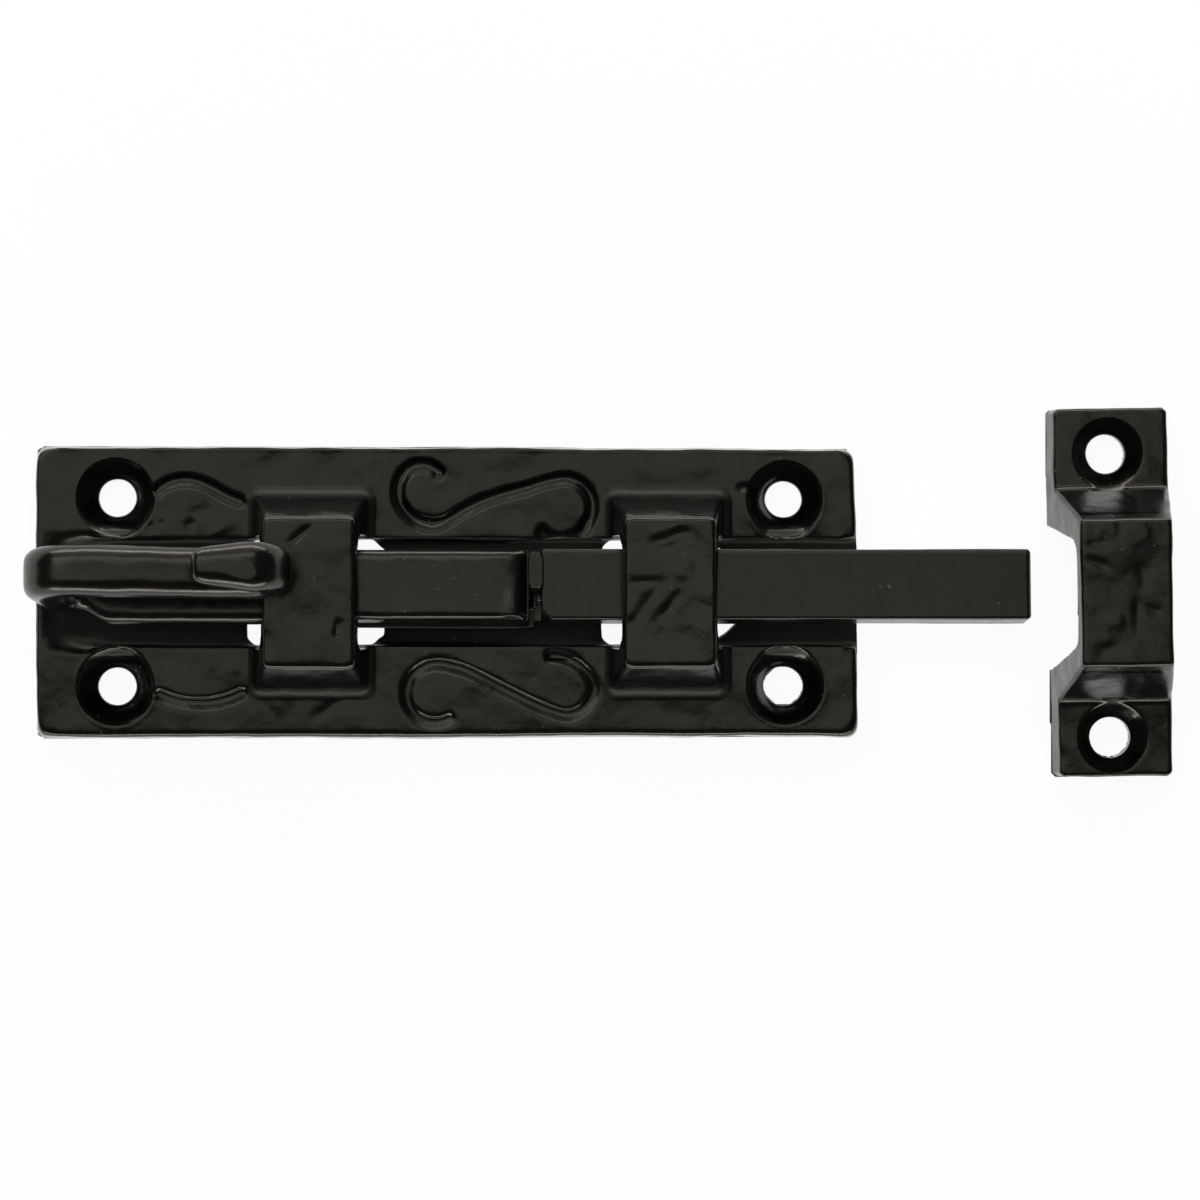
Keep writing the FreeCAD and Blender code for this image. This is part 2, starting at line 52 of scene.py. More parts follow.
TO_MM = 1000
MERGE = 0.002                # points of the CAD mesh closer than this are one

# The bolt lies over in its loose guides, about the middle of the channel floor.
BOLT_TILT = math.radians(7.5)
CHANNEL_FLOOR = 1.8
UNDO_TILT = (
    Matrix.Translation((0, 0, CHANNEL_FLOOR))
    @ Matrix.Rotation(BOLT_TILT, 4, "X")
    @ Matrix.Translation((0, 0, -CHANNEL_FLOOR))
)
SQUARE = Matrix.Identity(4)

PLATE_FACE = 4.0             # the height of the plate's face
OFF_FACE = 0.2               # anything higher than this over the face is a bridge
PLATE_RIM = 0.8              # the radius of the CAD's rim, kept along the near side
TIGHT_RIM = 0.3              # and of the casting's everywhere else
WIDE_RIM_Y = (-17.5, -15.0)
PLATE_LEAN = 0.36            # how far the side has leaned in where the rim starts
RIM_FOOT = 2.2               # from here up the side is stretched

NEAR_SIDE_IN = 0.08          # how far the plate's long sides are drawn in
NEAR_SIDE_X = (-48, -22)
FAR_SIDE_IN = (0.05, 0.18)
FAR_SIDE_X = ((-45, 0), (0, 45))
SIDE_WAVE = 0.06
SIDE_WAVE_SIZE = 8.0
SIDE_WAVE_SEED = 50
SIDE_Y = (10, 17)
END_ROUND = 2.0              # the corners at the nose end
FAR_CORNER_IN = 0.5
FAR_CORNER_X = (40, 50)
FAR_CORNER_Y = (3, 18)

CHANNEL_EDGE = 6.8           # half the channel's width
CHANNEL_DEPTH = 2.2
CHANNEL_SHIFT = 0.35         # how far the channel's edges are drawn in
SHIFT_WIDTH = (0.6, 2.0)
SOFT_EDGE = (0.5, 1.0)
EDGE_ROUNDS = 2
OVER_PLATE = (4.2, 4.6)
OVER_FLOOR = (1.4, 1.9)
BRIDGE_EDGES = (11.0, 12.0)
BRIDGE_ROUNDS = 6
PLATE_ENDS = (48.5, 49.5)
END_SIDES = (1.8, 2.4)
END_ROUNDS = 24

TROUGH_X = (-51.5, -44.0)    # the channel's floor rises to the face at the tail
TROUGH_Y = (6.0, 7.3)
TROUGH_BLEND = (-45.5, -42.5)
TROUGH_HALF = 7.4
TROUGH_OVER = 1.5            # the back of the plate lies below this
TAIL_END = (-50.9, -50.3)
TROUGH_SOFT_X = ((-51.0, -50.0), (-43.0, -41.0))
TROUGH_SOFT_Y = (7.0, 8.0)
TROUGH_SOFT_Z = (1.4, 1.8)
TROUGH_ROUNDS = 30

SCREW_X = 41.475
SCREW_Y = 11.7
SCREW_HOLE = 2.3
SCREW_HEAD = 4.8
STEEPER = 0.6                # how much further down a countersink runs than in the CAD
KEEP_SCREW = (81.87, 17.32)
KEEP_HOLE = 2.4
KEEP_HEAD = 4.4
KEEP_STEEPER = 0.3
HOLE_Z = (0.2, 2.0)
LIP_RADIUS = 4.95            # the raised ring of paint round each countersink
LIP_WIDTH = 0.25
LIP_HEIGHT = 0.06
LIP_OVER = 3.7

GROOVE_LEANS = (0.33, 0.50)  # in the far scrolls and in the near ones, as the next pair
GROOVE_DEEPENINGS = (0.15, -0.05)
GROOVE_DEPTH = 0.6
GROOVE_TOP = 0.03            # how far under the face a groove starts
GROOVE_Z = (3.2, 3.3)
GROOVES_FROM = (8.2, 8.8)
GROOVES_TO = (16.9, 17.4)
GROOVES_CLEAR = (4.9, 5.3)

CURL_X = (-24.0, -18.0)      # the curl, and the height that only it reaches
CURL_OVER = 9.0
CURL_ROUNDS = 70
REGROWTH = 0.4               # what softening takes off the curl

WELD_FOOT = 4.6              # the height of the near part of the weld
WELD_TOP = 10.4              # and of the far part
WELD_Y = (-1.3, -0.5)
WELD_ROUNDS = 6

SWELL_SIZE = 13.0            # the sizes of the bumps in a cast skin
SWELL_SINK = 0.6             # keeps nearly all of the skin inside the CAD's shape
LUMP_SIZE = 3.1
GRAIN_SIZE = 1.1
BACK_NORMAL = -0.6           # the flat back looks down, lies low and gets no skin
BACK_UNDER = 0.5
BACK_FLAT = 0.02
BACK_THINNING = 0.9          # the share of its points that it loses

DENT_NORMAL = (0.5, 0.8)     # how squarely a face looks up before it is dented
DENT_DOWN = (1.5, 1.0)

NOISE_CELLS = 32
NOISE_START = 200            # keeps the number of every cell above 0
NOISE_SPIN = Matrix.Rotation(0.7, 3, Vector((1, 2, 3)).normalized())


# ---- meshes ---------------------------------------------------------------------------


def cad_copy(node, turn):
    """A closed copy of a CAD node's mesh, in millimetres, turned square to the axes."""
    mesh = bpy.data.meshes.new(node + "_copy")
    shape = bmesh.new()
    shape.from_mesh(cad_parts[node].data)
    shape.transform(turn @ Matrix.Scale(TO_MM, 4))
    bmesh.ops.remove_doubles(shape, verts=shape.verts, dist=MERGE)
    shape.to_mesh(mesh)
    shape.free()
    return mesh


def modified(mesh, modifiers, chosen=()):
    """A mesh after modifiers, each given as its type and its settings.

    The points whose numbers are in chosen make up the vertex group "chosen".
    """
    worker = bpy.data.objects.new("worker", mesh)
    scene.collection.objects.link(worker)
    worker.vertex_groups.clear()
    worker.vertex_groups.new(name="chosen").add(list(chosen), 1.0, "REPLACE")
    for kind, settings in modifiers:
        modifier = worker.modifiers.new(kind, kind)
        for name, value in settings.items():
            setattr(modifier, name, value)
    graph = bpy.context.evaluated_depsgraph_get()
    result = bpy.data.meshes.new_from_object(worker.evaluated_get(graph))
    bpy.data.objects.remove(worker)
    return result


def fine_mesh(node, turn, voxel, smoothing):
    """A node's shape in even small faces, slightly smoothed."""
    remesh = {"mode": "VOXEL", "voxel_size": voxel}
    smooth = {"factor": 0.5, "iterations": smoothing}
    return modified(cad_copy(node, turn), [("REMESH", remesh), ("SMOOTH", smooth)])


def plain_back(mesh):
    """Merges the small faces of the flat back, which needs none of them."""
    height = column(mesh, "co")[:, 2]
    back = np.flatnonzero(height < BACK_FLAT).tolist()
    ratio = 1 - BACK_THINNING * len(back) / len(height)
    thin = {"ratio": ratio, "vertex_group": "chosen"}
    return modified(mesh, [("DECIMATE", thin)], back)


def column(mesh, attribute):
    """The "co" or "normal" of every point, as the rows of an array."""
    values = np.empty(len(mesh.vertices) * 3, np.float32)
    mesh.vertices.foreach_get(attribute, values)
    return values.reshape(-1, 3).astype(float)


def put_points(mesh, points):
    mesh.vertices.foreach_set("co", points.astype(np.float32).ravel())
    mesh.update()


def bumps(points, size, seed):
    """Smooth random bumps of about one size in millimetres, between -1 and 1."""
    table = np.random.default_rng(seed).uniform(-1, 1, (NOISE_CELLS,) * 3)
    place = points @ np.array(NOISE_SPIN) / size + NOISE_START
    cell = np.floor(place).astype(int)
    part = place - cell
    part = part * part * (3 - 2 * part)
    total = np.zeros(len(points))
    for offset in itertools.product((0, 1), repeat=3):
        weight = np.prod(np.where(offset, part, 1 - part), axis=1)
        corner = (cell + offset) % NOISE_CELLS
        total += weight * table[corner[:, 0], corner[:, 1], corner[:, 2]]
    return total


def step(values, low, high):
    """0 below low, 1 above high and a smooth rise between them."""
    part = np.clip((values - low) / (high - low), 0, 1)
    return part * part * (3 - 2 * part)


def soften(mesh, share, rounds):
    """Rounds a mesh off, each point by its own share between 0 and 1."""
    points = column(mesh, "co")
    ends = np.empty(len(mesh.edges) * 2, np.int32)
    mesh.edges.foreach_get("vertices", ends)
    first, second = ends.reshape(-1, 2).T
    count = np.bincount(ends, minlength=len(points))
    for _ in range(rounds):
        for axis in range(3):
            line = points[:, axis]
            total = np.bincount(first, line[second], len(line))
            total += np.bincount(second, line[first], len(line))
            points[:, axis] += share * 0.5 * (total / count - line)
    put_points(mesh, points)


# ---- wear and casting -----------------------------------------------------------------


def dented(mesh, dents):
    """Presses long dents into the upper faces, or raises bumps where depth is negative."""
    points = column(mesh, "co")
    upper = step(column(mesh, "normal")[:, 2], *DENT_NORMAL)
    for level, x, y, length, width, turn, depth in dents:
        turn = math.radians(turn)
        from_x = points[:, 0] - x
        from_y = points[:, 1] - y
        along = (from_x * math.cos(turn) + from_y * math.sin(turn)) / (length / 2)
        across = (from_y * math.cos(turn) - from_x * math.sin(turn)) / (width / 2)
        near = upper * step(points[:, 2], *(level - down for down in DENT_DOWN))
        points[:, 2] -= near * depth * np.exp(-(along**4) - across**2)
    put_points(mesh, points)


def cast_skin(mesh, seed, swell, lump, grain):
    """Gives a smooth mesh the uneven skin of iron cast in sand or forged, then painted."""
    points = column(mesh, "co")
    normals = column(mesh, "normal")
    push = swell * (bumps(points, SWELL_SIZE, seed) - SWELL_SINK)
    push += lump * bumps(points, LUMP_SIZE, seed + 1)
    push += grain * bumps(points, GRAIN_SIZE, seed + 2)
    flat_back = (normals[:, 2] < BACK_NORMAL) & (points[:, 2] < BACK_UNDER)
    push[flat_back] = 0
    put_points(mesh, points + normals * push[:, None])


def crisp_rim(mesh):
    """Draws the plate's rim up into a tighter edge, but for its near side."""
    points = column(mesh, "co")
    low, high = (np.array(corner) * TO_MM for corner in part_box("backplate"))
    inward = np.minimum(points - low, high - points)[:, :2].min(axis=1) - PLATE_LEAN
    inward = np.clip(inward, 0, PLATE_RIM)
    wide = PLATE_FACE - PLATE_RIM + np.sqrt(PLATE_RIM**2 - (PLATE_RIM - inward) ** 2)
    near = np.clip(inward, 0, TIGHT_RIM)
    tight = PLATE_FACE - TIGHT_RIM + np.sqrt(TIGHT_RIM**2 - (TIGHT_RIM - near) ** 2)
    share = np.clip((points[:, 2] - RIM_FOOT) / (wide - RIM_FOOT), 0, 1)
    share[points[:, 2] > PLATE_FACE + OFF_FACE] = 0
    share *= step(points[:, 1], *WIDE_RIM_Y)
    points[:, 2] += (tight - wide) * share
    put_points(mesh, points)


def from_screws(x, y):
    """The distance from the middle of the nearest of the plate's four screw holes."""
    return np.hypot(np.abs(x) - SCREW_X, np.abs(y) - SCREW_Y)


def lean_grooves(mesh):
    """Moves the bottom of each scroll groove up the plate: that wall is the steeper."""
    points = column(mesh, "co")
    x, y, z = points.T
    side = np.abs(y)
    here = step(side, *GROOVES_FROM) * (1 - step(side, *GROOVES_TO))
    here *= step(from_screws(x, y), *GROOVES_CLEAR)
    here *= step(z, *GROOVE_Z)
    depth = here * np.clip((PLATE_FACE - GROOVE_TOP - z) / GROOVE_DEPTH, 0, 1)
    points[:, 1] += np.where(y > 0, *GROOVE_LEANS) * depth
    points[:, 2] -= np.where(y > 0, *GROOVE_DEEPENINGS) * depth
    put_points(mesh, points)


def hole_share(from_screw, hole, head):
    """1 in a screw's hole and 0 outside its head, with an even fall between them."""
    return 1 - np.clip((from_screw - hole) / (head - hole), 0, 1)


def worn_keep(mesh):
    """Steepens the countersink in the keep's far foot, which is evenly dark."""
    points = column(mesh, "co")
    from_screw = np.hypot(points[:, 0] - KEEP_SCREW[0], points[:, 1] - KEEP_SCREW[1])
    drop = KEEP_STEEPER * hole_share(from_screw, KEEP_HOLE, KEEP_HEAD)
    points[:, 2] -= drop * step(points[:, 2], *HOLE_Z)
    put_points(mesh, points)


def soft_edges(mesh, x, y, z):
    """Draws the channel's edges in, and rounds them, the bridges and the plate's ends."""
    from_edge = np.abs(np.abs(y) - CHANNEL_EDGE)
    by_plate = 1 - step(z, *OVER_PLATE)
    points = column(mesh, "co")
    shifted = (1 - step(from_edge, *SHIFT_WIDTH)) * by_plate
    points[:, 1] -= CHANNEL_SHIFT * np.sign(y) * shifted
    put_points(mesh, points)
    channel = (1 - step(from_edge, *SOFT_EDGE)) * by_plate * step(z, *OVER_FLOOR)
    soften(mesh, channel, EDGE_ROUNDS)
    soften(mesh, step(z, *BRIDGE_EDGES), BRIDGE_ROUNDS)
    soften(mesh, step(np.abs(x), *PLATE_ENDS) * step(z, *END_SIDES), END_ROUNDS)


def trough_rise(x, y, z):
    """How far each point rises or sinks where the channel runs out at the tail."""
    trough = CHANNEL_DEPTH * step(x, *TROUGH_X) * (1 - step(np.abs(y), *TROUGH_Y))
    here = (1 - step(x, *TROUGH_BLEND)) * (np.abs(y) < TROUGH_HALF) * (z > TROUGH_OVER)
    return here * step(x, *TAIL_END) * (PLATE_FACE - trough - z)


def screw_rise(x, y, z):
    """How far each point rises in the paint round the screw holes, or sinks in them."""
    from_screw = from_screws(x, y)
    sunk = STEEPER * hole_share(from_screw, SCREW_HOLE, SCREW_HEAD) * step(z, *HOLE_Z)
    ring = (from_screw - LIP_RADIUS) / LIP_WIDTH
    return LIP_HEIGHT * np.exp(-(ring**2)) * (z > LIP_OVER) - sunk


def worn_plate(mesh):
    """Softens the plate, runs its channel out at the tail and finishes its screw holes.

    Each step goes by where the points were at the start.
    """
    x, y, z = column(mesh, "co").T
    soft_edges(mesh, x, y, z)
    points = column(mesh, "co")
    points[:, 2] += trough_rise(x, y, z)
    points[:, 2] += screw_rise(x, y, z)
    put_points(mesh, points)
    starts, ends = TROUGH_SOFT_X
    along = (1 - step(x, *ends)) * step(x, *starts)
    across = (1 - step(np.abs(y), *TROUGH_SOFT_Y)) * step(z, *TROUGH_SOFT_Z)
    soften(mesh, along * across, TROUGH_ROUNDS)


def uneven_outline(mesh):
    """Draws the plate's sides in where the casting is narrower than its ends."""
    points = column(mesh, "co")
    high = np.array(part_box("backplate")[1]) * TO_MM
    x, y = points.T[:2]
    near_side = NEAR_SIDE_IN * step(x, *NEAR_SIDE_X)
    far_side = sum(amount * step(x, *place) for amount, place in zip(FAR_SIDE_IN, FAR_SIDE_X))
    wave = SIDE_WAVE * bumps(points * (1, 0, 0), SIDE_WAVE_SIZE, SIDE_WAVE_SEED)
    points[:, 1] += (near_side + wave) * step(-y, *SIDE_Y)
    points[:, 1] -= (far_side + wave) * step(y, *SIDE_Y)
    past_x = x - (high[0] - END_ROUND)
    past_y = np.abs(y) - (high[1] - END_ROUND)
    past = np.maximum(np.stack([past_x, past_y]), 0)
    excess = 1 - np.minimum(1, END_ROUND / np.maximum(np.hypot(*past), END_ROUND))
    points[:, 0] -= past[0] * excess
    points[:, 1] -= np.sign(y) * past[1] * excess
    points[:, 0] -= FAR_CORNER_IN * step(x, *FAR_CORNER_X) * step(y, *FAR_CORNER_Y)
    put_points(mesh, points)


def worn_handle(mesh):
    """Rounds the curl off, but not the shank that the bridges hold square."""
    x, _, z = column(mesh, "co").T
    curl = 1 - step(x, *CURL_X)
    soften(mesh, np.maximum(curl, z > CURL_OVER), CURL_ROUNDS)
    points = column(mesh, "co")
    put_points(mesh, points + column(mesh, "normal") * (REGROWTH * curl)[:, None])


def sunk_weld(mesh):
    """Leaves the near part of the joint unfilled, as a dark recess."""
    points = column(mesh, "co")
    most = WELD_FOOT + (WELD_TOP - WELD_FOOT) * step(points[:, 1], *WELD_Y)
    points[:, 2] = np.minimum(points[:, 2], most)
    put_points(mesh, points)
    soften(mesh, np.ones(len(points)), WELD_ROUNDS)


WEAR = {
    "backplate": [crisp_rim, lean_grooves, worn_plate, uneven_outline],
    "keep": [worn_keep],
    "curl_handle": [worn_handle],
    "stop_weld": [sunk_weld],
}

DENTS = {
    # level of the face, x, y, length, width, turn in degrees, depth
    "backplate": [
        (13, -18.5, 6.9, 3.6, 1.0, 40, 0.16),
        (13, -13.9, -4.4, 2.2, 1.0, 80, 0.20),
        (13, -20.5, 1.0, 3.0, 1.6, 80, 0.07),
        (13, 26.5, 6.6, 5.4, 1.6, 20, 0.13),
        (13, 23.5, 1.3, 3.4, 1.0, 3, 0.09),
        (13, 23.4, -1.8, 7.5, 1.6, 54, 0.12),
        (13, 26.6, -1.6, 3.8, 1.4, 53, 0.11),
        (13, 28.5, 3.0, 3.0, 1.5, 60, -0.08),
        (4, -32.3, 8.4, 1.5, 1.1, 40, 0.15),
        (4, -37.3, 8.0, 1.4, 1.1, 80, 0.14),
        (4, -35.9, 8.5, 1.0, 0.9, 0, 0.10),
        (4, -31.0, 9.9, 3.2, 1.4, 10, 0.09),
        (4, -28.5, 7.9, 4.0, 1.2, 30, -0.08),
        (4, -21.0, -13.5, 3.0, 2.4, 30, -0.14),
        (4, -15.0, -14.2, 5.2, 1.4, 33, 0.14),
        (4, -32.5, -8.6, 2.6, 1.0, 92, -0.05),
        (4, -29.6, -8.3, 3.0, 0.9, 88, -0.05),
        (4, -26.8, -8.8, 2.6, 1.0, 95, -0.05),
        (4, 37.0, 13.0, 3.0, 0.9, 0, 0.22),
        (4, -2.0, 9.5, 6.0, 2.0, 20, 0.06),
        (4, 44.5, -6.0, 4.0, 2.0, 80, 0.06),
    ],
    "keep": [
        (14.5, 78.7, 3.6, 3.0, 1.2, -17, 0.10),
        (14.5, 78.6, 6.0, 2.6, 0.9, 10, 0.06),
        (14.5, 84.4, 2.0, 3.2, 1.5, 100, 0.09),
        (14.5, 83.7, -2.6, 4.4, 1.2, 88, 0.08),
        (14.5, 85.6, -2.1, 2.2, 1.2, -20, 0.06),
        (14.5, 79.9, 7.9, 2.4, 2.2, 0, -0.10),
        (14.5, 83.6, 7.2, 2.8, 1.8, 20, -0.09),
        (14.5, 80.9, -3.6, 2.2, 2.0, 0, -0.09),
        (14.5, 80.0, -7.0, 3.0, 1.6, 30, 0.07),
    ],
    "curl_handle": [
        (6.5, 7.4, -4.2, 2.2, 7.0, 0, -0.35),
        (6.5, 9.7, 0.0, 9.5, 1.9, 90, 0.45),
    ],
}


# ---- materials, in metres -------------------------------------------------------------

CLOUDS = 140                 # how many of each to the metre
PATCHES = 700
GRAIN = 1500
DUST = 2000
CLOUD_RANGE = (0.35, 0.65)   # the part of each noise that is used
PATCH_RANGE = (0.3, 0.7)
DUST_RANGE = (0.85, 0.87)
DUST_STRENGTH = 0.6
DUST_COLOUR = (0.16, 0.15, 0.13)
PATCH_DEPTH = 0.00003
WARM = (1.0, 0.93, 0.80, 1)

BELOW_FACE = (0.0036, 0.0033)
HOLE_SMOOTH = 0.5            # of a face's roughness: the paint is smoother in the holes
BRIDGE_RIM = 0.0125          # the height of the bridges' rounded edges
RIM_BAND = (0.0003, 0.0005)
RIM_SMOOTH = 0.6

RECESS_ROUGHNESS = 0.65      # down in the channel and in the creases round the bridges
RECESS_Z = (0.0037, 0.0031)
RECESS_Y = (0.0079, 0.0075)
BRIDGES_MIDDLE = 0.004625    # halfway between the bridges
BRIDGES_APART = 0.02205      # from there to each
BRIDGE_FOOT_X = 0.0072
BRIDGE_FOOT_Y = 0.0125
FOOT_BAND = (0.0007, 0.0003)
FOOT_SHARE = 0.8
FOOT_Z = (0.0052, 0.0045)


def add_node(tree, kind, **inputs):
    node = tree.nodes.new("ShaderNode" + kind)
    for name, value in inputs.items():
        node.inputs[name.replace("_", " ")].default_value = value
    return node


def feed(tree, socket, value):
    """Gives a socket another node's output or a plain number."""
    if isinstance(value, bpy.types.NodeSocket):
        tree.links.new(value, socket)
    else:
        socket.default_value = value


def noise(tree, place, scale, detail):
    """Noise with about this many bumps to the metre, as a factor output."""
    node = add_node(tree, "TexNoise", Scale=scale, Detail=detail, Roughness=0.55)
    tree.links.new(place, node.inputs["Vector"])
    return node.outputs[0]


def ranged(tree, factor, from_low, from_high, to_low, to_high):
    node = add_node(
        tree,
        "MapRange",
        From_Min=from_low,
        From_Max=from_high,
        To_Min=to_low,
        To_Max=to_high,
    )
    tree.links.new(factor, node.inputs["Value"])
    return node.outputs["Result"]


def maths(tree, operation, first, second=0.0):
    """A Math node's result from two numbers or outputs."""
    node = tree.nodes.new("ShaderNodeMath")
    node.operation = operation
    feed(tree, node.inputs[0], first)
    feed(tree, node.inputs[1], second)
    return node.outputs[0]


def mixed(tree, factor, first, second):
    """A colour between two colours."""
    node = tree.nodes.new("ShaderNodeMix")
    node.data_type = "RGBA"
    feed(tree, node.inputs["Factor"], factor)
    feed(tree, node.inputs[6], first)
    feed(tree, node.inputs[7], second)
    return node.outputs[2]


def by_distance(tree, value, middle):
    """How far a coordinate is from the middle of something, on either side."""
    return maths(tree, "ABSOLUTE", maths(tree, "SUBTRACT", value, middle))


def recess_mask(tree, x, y, z):
    """1 in the plate's channel and nearly 1 in the creases where the bridges stand."""
    from_middle = maths(tree, "ABSOLUTE", y)
    low_down = ranged(tree, z, *RECESS_Z, 0, 1)
    between = ranged(tree, from_middle, *RECESS_Y, 0, 1)
    channel = maths(tree, "MULTIPLY", low_down, between)
    from_bridge = by_distance(tree, by_distance(tree, x, BRIDGES_MIDDLE), BRIDGES_APART)
    past_end = maths(tree, "SUBTRACT", from_bridge, BRIDGE_FOOT_X)
    past_side = maths(tree, "SUBTRACT", from_middle, BRIDGE_FOOT_Y)
    from_foot = maths(tree, "ABSOLUTE", maths(tree, "MAXIMUM", past_end, past_side))
    crease = ranged(tree, from_foot, *FOOT_BAND, 0, FOOT_SHARE)
    by_plate = ranged(tree, z, *FOOT_Z, 0, 1)
    return maths(tree, "MAXIMUM", channel, maths(tree, "MULTIPLY", crease, by_plate))


def roughness(tree, place, patches, low, high):
    """Patchy gloss: smoother in the holes and on the bridges' rims, rough in recesses."""
    split = tree.nodes.new("ShaderNodeSeparateXYZ")
    tree.links.new(place, split.inputs[0])
    x, y, z = split.outputs
    smooth = ranged(tree, patches, *PATCH_RANGE, low, high)
    in_hole = ranged(tree, z, *BELOW_FACE, 1, HOLE_SMOOTH)
    smooth = maths(tree, "MULTIPLY", smooth, in_hole)
    by_rim = ranged(tree, by_distance(tree, z, BRIDGE_RIM), *RIM_BAND, RIM_SMOOTH, 1)
    smooth = maths(tree, "MULTIPLY", smooth, by_rim)
    blend = tree.nodes.new("ShaderNodeMix")
    feed(tree, blend.inputs[0], recess_mask(tree, x, y, z))
    feed(tree, blend.inputs[2], smooth)
    feed(tree, blend.inputs[3], RECESS_ROUGHNESS)
    return blend.outputs[0]


def black_paint(name, dark, light, gloss_low, gloss_high, grain_depth):
    """Satin black paint with slight clouds, fine grain and a few specks of dust."""
    material = bpy.data.materials.new(name)
    material.use_nodes = True
    tree = material.node_tree
    shader = tree.nodes["Principled BSDF"]
    place = tree.nodes.new("ShaderNodeTexCoord").outputs["Object"]
    clouds = noise(tree, place, CLOUDS, detail=3)
    patches = noise(tree, place, PATCHES, detail=3)
    grain = noise(tree, place, GRAIN, detail=2)
    dust = noise(tree, place, DUST, detail=0)
    paint = mixed(tree, ranged(tree, clouds, *CLOUD_RANGE, 0, 1), (*dark, 1), (*light, 1))
    specks = ranged(tree, dust, *DUST_RANGE, 0, DUST_STRENGTH)
    tree.links.new(mixed(tree, specks, paint, (*DUST_COLOUR, 1)), shader.inputs["Base Color"])
    shader.inputs["Specular Tint"].default_value = WARM
    gloss = roughness(tree, place, patches, gloss_low, gloss_high)
    tree.links.new(gloss, shader.inputs["Roughness"])
    coarse = add_node(tree, "Bump", Strength=1.0, Distance=PATCH_DEPTH)
    tree.links.new(patches, coarse.inputs["Height"])
    fine = add_node(tree, "Bump", Strength=1.0, Distance=grain_depth)
    tree.links.new(grain, fine.inputs["Height"])
    tree.links.new(coarse.outputs[0], fine.inputs["Normal"])
    tree.links.new(fine.outputs[0], shader.inputs["Normal"])
    return material


casting_paint = black_paint(
    "casting_paint", (0.0028, 0.0026, 0.0022), (0.0042, 0.0040, 0.0034), 0.19, 0.27, 0.000006
)
bar_paint = black_paint(
    "bar_paint", (0.0032, 0.0030, 0.0026), (0.0044, 0.0042, 0.0036), 0.22, 0.28, 0.000004
)
rough_paint = black_paint(
    "rough_paint", (0.0028, 0.0026, 0.0022), (0.0040, 0.0038, 0.0033), 0.36, 0.50, 0.000010
)


# ---- pieces ---------------------------------------------------------------------------


def show(node, mesh, body, material, turn):
    """Puts a finished mesh in the place of a CAD node."""
    low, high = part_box(node)
    mesh.transform(Matrix.Scale(1 / TO_MM, 4) @ turn.inverted())
    points = column(mesh, "co")
    put_points(mesh, np.clip(points, np.array(low), np.array(high)))
    for polygon in mesh.polygons:
        polygon.use_smooth = True
    mesh.materials.clear()
    mesh.materials.append(material)
    piece = bpy.data.objects.new(node + "_surface", mesh)
    scene.collection.objects.link(piece)
    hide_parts(node)
    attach(piece, body)


PIECES = [
    # node, body, slot, material, turn, voxel, smoothing, swell, lump, grain
    ("backplate", "fixed_ironwork", "casting", casting_paint, SQUARE, 0.26, 2, 0.14, 0.10, 0.014),
    ("keep", "fixed_ironwork", "casting", casting_paint, SQUARE, 0.18, 5, 0.14, 0.09, 0.014),
    ("bolt_bar", "bolt", "bar", bar_paint, UNDO_TILT, 0.16, 3, 0.05, 0.02, 0.004),
    ("curl_handle", "bolt", "casting", casting_paint, UNDO_TILT, 0.18, 4, 0.12, 0.07, 0.010),
    ("stop_weld", "bolt", "weld", bar_paint, UNDO_TILT, 0.1, 30, 0.06, 0.12, 0.03),
    ("friction_spring", "bolt", "spring", rough_paint, UNDO_TILT, 0.1, 1, 0.01, 0.01, 0.004),
]
for number, row in enumerate(PIECES):
    node, body, slot, material, turn, voxel, smoothing, swell, lump, grain = row
    mesh = fine_mesh(node, turn, voxel, smoothing)
    for wear in WEAR.get(node, []):
        wear(mesh)
    dented(mesh, DENTS.get(node, []))
    cast_skin(mesh, number * 10, swell, lump, grain)
    if turn == SQUARE:
        mesh = plain_back(mesh)
    show(node, mesh, body, material, turn)


# ---- surroundings, in metres ----------------------------------------------------------

ROOM_COLOUR = (1, 0.995, 0.98, 1)
ROOM_STRENGTH = 0.05
FLOOR_HALF = 3.0
FLOOR_DROP = 0.0002
FLOOR_GLOW = 0.93
FLOOR_FAINT = 0.12           # shows the shadow in the floor that the camera sees
FLOOR_MATTE = 0.8
MIDDLE = Vector((0.018, 0, 0.006))
LAMPS = [
    # name, degrees from straight above towards +X and +Y, distance, size, radiance
    ("lamp_top", (-18, 6), 1.3, (1.8, 0.52), 0.72),
    ("lamp_key", (-18, 30), 1.3, (1.8, 0.36), 1.7),
    ("lamp_slope", (-18, 57), 1.3, (1.8, 0.6), 0.6),
    ("lamp_far", (0, 79), 1.3, (2.2, 0.3), 7.0),
    ("lamp_near", (0, -79), 1.3, (2.2, 0.3), 7.0),
]
CAMERA_PLACE = (-0.00159, 0.00006, 0.5)
CAMERA_TARGET = (0.01838, -0.00094, 0.004)
SENSOR_WIDTH = 36.0
LENS = 120.0


def look_at(obj, target, up):
    """Turns a camera or light so that it points at the target."""
    back = (obj.location - Vector(target)).normalized()
    right = Vector(up).cross(back).normalized()
    true_up = back.cross(right)
    turn = Matrix((right, true_up, back)).transposed()
    obj.rotation_euler = turn.to_euler()


def seen_directly(tree):
    """A factor that is 1 for rays from the camera, mirrors and glass, and 0 for others."""
    path = tree.nodes.new("ShaderNodeLightPath")
    total = path.outputs["Is Camera Ray"]
    for name in ("Is Glossy Ray", "Is Transmission Ray"):
        total = maths(tree, "MAXIMUM", total, path.outputs[name])
    return total


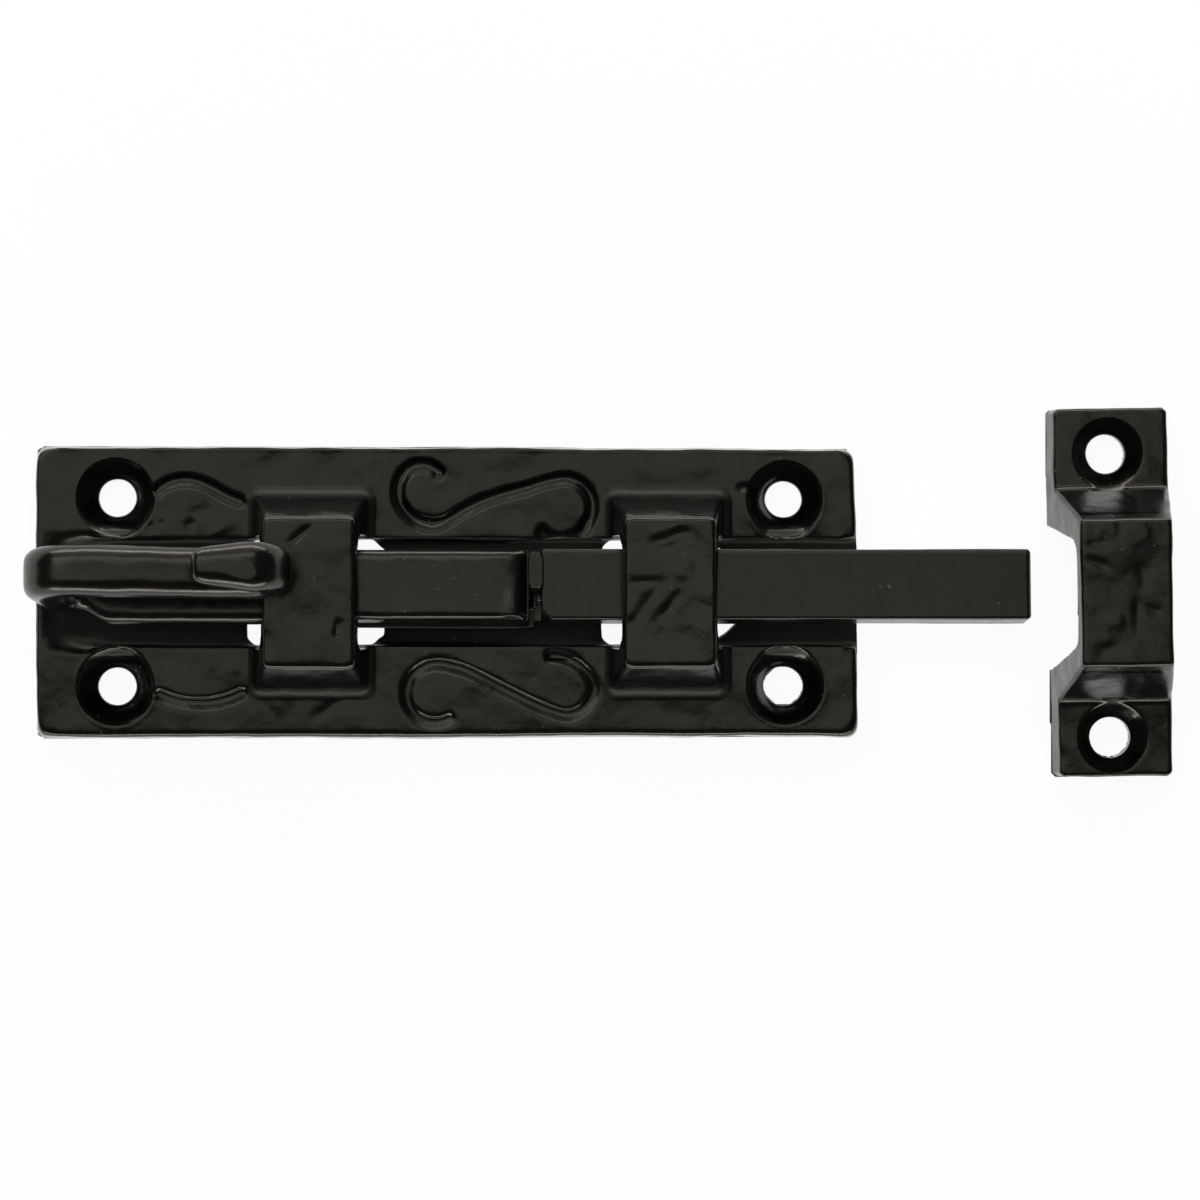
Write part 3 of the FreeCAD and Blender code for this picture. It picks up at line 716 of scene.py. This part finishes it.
def floor_paint():
    """White where it is seen, with the object's shadow, and matte to all other light."""
    material = bpy.data.materials.new("floor")
    material.use_nodes = True
    tree = material.node_tree
    tree.nodes.clear()
    matte = add_node(tree, "BsdfDiffuse", Color=(*(FLOOR_MATTE,) * 3, 1))
    faint = add_node(tree, "BsdfDiffuse", Color=(*(FLOOR_FAINT,) * 3, 1))
    glow = add_node(tree, "Emission", Color=(1, 1, 1, 1), Strength=FLOOR_GLOW)
    both = tree.nodes.new("ShaderNodeAddShader")
    tree.links.new(faint.outputs[0], both.inputs[0])
    tree.links.new(glow.outputs[0], both.inputs[1])
    choice = tree.nodes.new("ShaderNodeMixShader")
    tree.links.new(seen_directly(tree), choice.inputs[0])
    tree.links.new(matte.outputs[0], choice.inputs[1])
    tree.links.new(both.outputs[0], choice.inputs[2])
    output = tree.nodes.new("ShaderNodeOutputMaterial")
    tree.links.new(choice.outputs[0], output.inputs["Surface"])
    return material


def make_floor():
    corners = ((-1, -1), (1, -1), (1, 1), (-1, 1))
    places = [(x * FLOOR_HALF, y * FLOOR_HALF, -FLOOR_DROP) for x, y in corners]
    mesh = bpy.data.meshes.new("floor")
    mesh.from_pydata(places, [], [(0, 1, 2, 3)])
    mesh.materials.append(floor_paint())
    floor = bpy.data.objects.new("floor", mesh)
    scene.collection.objects.link(floor)
    return floor


def make_lamp(name, slants, distance, size, radiance):
    """A rectangular lamp that faces the object from the given slants."""
    data = bpy.data.lights.new(name, "AREA")
    data.shape = "RECTANGLE"
    data.size, data.size_y = size
    data.energy = radiance * math.pi * size[0] * size[1]
    lamp = bpy.data.objects.new(name, data)
    across, along = (math.tan(math.radians(slant)) for slant in slants)
    away = Vector((across, along, 1)).normalized()
    lamp.location = MIDDLE + away * distance
    look_at(lamp, MIDDLE, away.cross(Vector((1, 0, 0))))
    lamp.visible_camera = False
    scene.collection.objects.link(lamp)


scene.world = bpy.data.worlds.new("room")
scene.world.use_nodes = True
background = scene.world.node_tree.nodes["Background"]
background.inputs["Color"].default_value = ROOM_COLOUR
background.inputs["Strength"].default_value = ROOM_STRENGTH

make_floor()
for lamp_row in LAMPS:
    make_lamp(*lamp_row)

camera_data = bpy.data.cameras.new("camera")
camera_data.sensor_width = SENSOR_WIDTH
camera_data.lens = LENS
camera = bpy.data.objects.new("camera", camera_data)
camera.location = CAMERA_PLACE
look_at(camera, CAMERA_TARGET, (0, 1, 0))
scene.collection.objects.link(camera)
scene.camera = camera
scene.view_settings.view_transform = "Standard"
